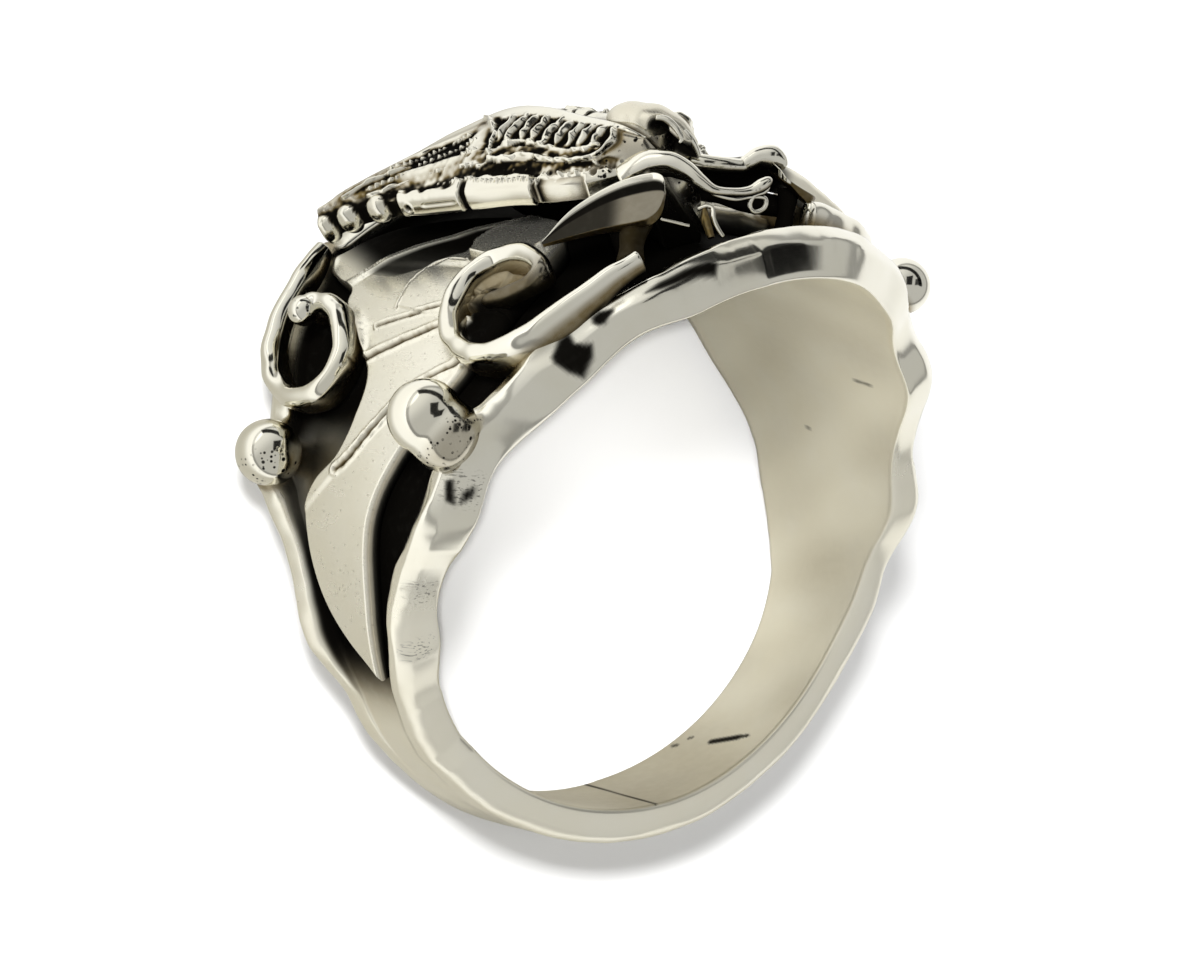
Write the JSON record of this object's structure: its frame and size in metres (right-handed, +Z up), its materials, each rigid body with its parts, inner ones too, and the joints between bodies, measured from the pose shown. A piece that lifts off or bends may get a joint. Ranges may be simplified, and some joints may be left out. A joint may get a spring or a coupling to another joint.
{
  "type": "eagle ring",
  "caption": "Heavy silver finger ring with a split band that widens under an eagle with swept wings, shoulder leaves, wire scrolls and melted balls.",
  "frame": {"origin": "centre of the finger hole, on its axis and midway along the part of its wall that runs all the way round", "axes": "the ring lies on its far side: +Z up from the surface, +Y towards the eagle, +X to the right of the eagle's head; the finger hole's axis leans back from +Z by the tilt at which the ring rests"},
  "size_m": [0.0254, 0.0269, 0.0202],
  "materials": {
    "band_silver": "hammered and polished rails, satin finger hole, blackened ground",
    "eagle_silver": "cast and polished feathers with blackened hollows",
    "leaf_silver": "soft polished sheet with engraved lines",
    "wire_silver": "bright polished wire with dark solder joints",
    "ball_silver": "bright melted balls with pits"
  },
  "bodies": {
    "root": {"band": "band_silver", "eagle": "eagle_silver", "leaf_left": "leaf_silver", "leaf_right": "leaf_silver", "near_scroll_left": "wire_silver", "near_scroll_right": "wire_silver", "far_scroll_left": "wire_silver", "far_scroll_right": "wire_silver", "tongue_left": "wire_silver", "tongue_right": "wire_silver", "near_ball_left": "ball_silver", "near_ball_right": "ball_silver", "far_ball_left": "ball_silver", "far_ball_right": "ball_silver"}
  },
  "joints": []
}
